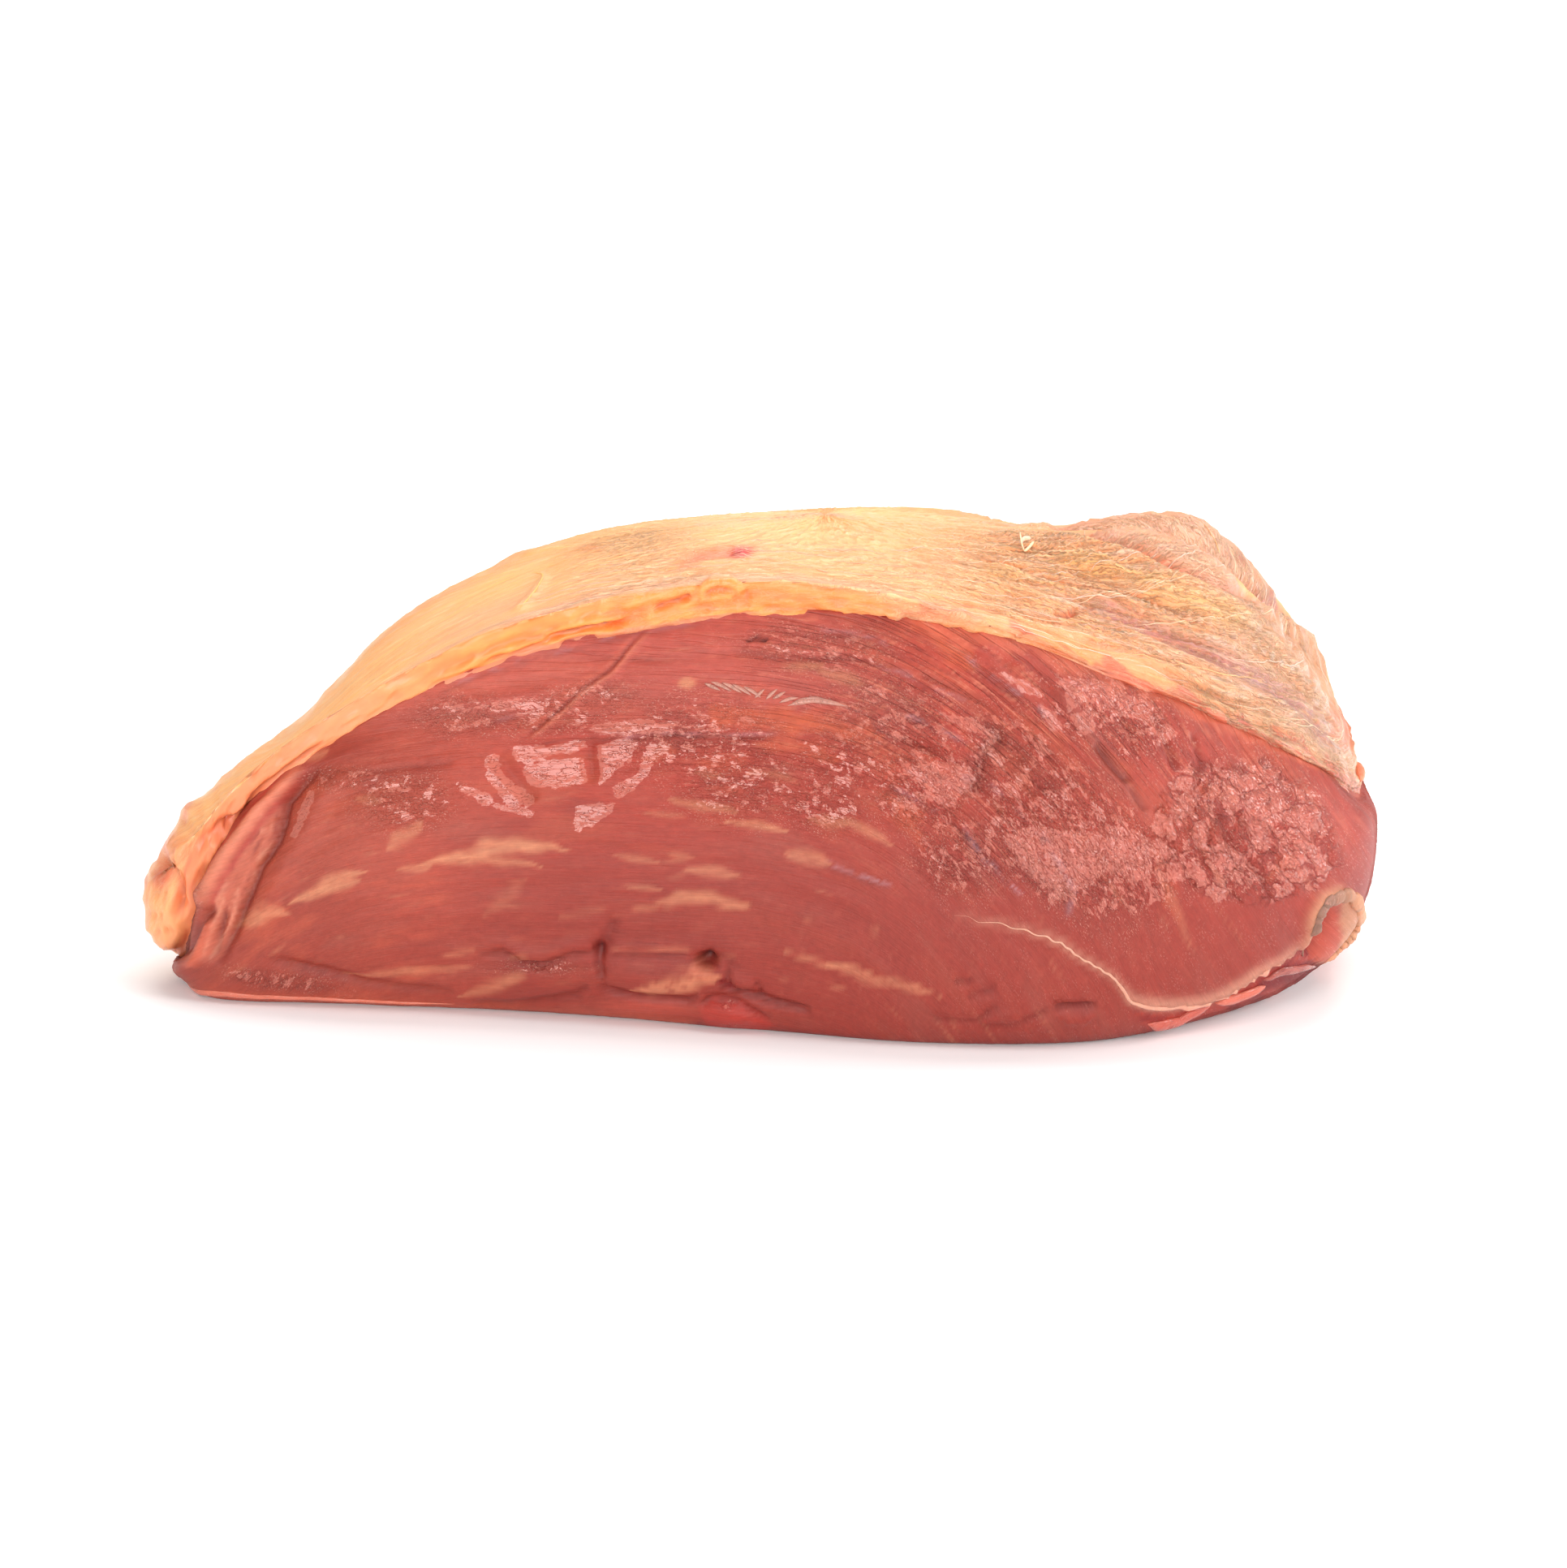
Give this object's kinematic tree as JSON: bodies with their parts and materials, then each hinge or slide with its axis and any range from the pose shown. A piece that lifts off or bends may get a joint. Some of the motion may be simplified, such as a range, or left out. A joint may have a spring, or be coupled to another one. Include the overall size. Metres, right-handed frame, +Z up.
{
  "type": "raw beef rump cap",
  "caption": "Whole raw picanha, a triangular beef rump cap lying fat side up, with its long cut face of lean meat showing under a cap of yellow fat.",
  "frame": {"origin": "middle of the bounding box in plan, on the surface the meat lies on", "axes": "+X along the length from the thin tip to the thick end, -Y out of the long cut face, +Z up through the fat cap"},
  "size_m": [0.228, 0.1367, 0.0847],
  "materials": {
    "lean_meat": "moist raw beef, satin to wet gloss, fine grain",
    "beef_fat": "cold firm beef fat, pale cream to orange yellow, softly satin"
  },
  "bodies": {
    "root": {"lean": "lean_meat", "fat_cap": "beef_fat"}
  },
  "joints": []
}
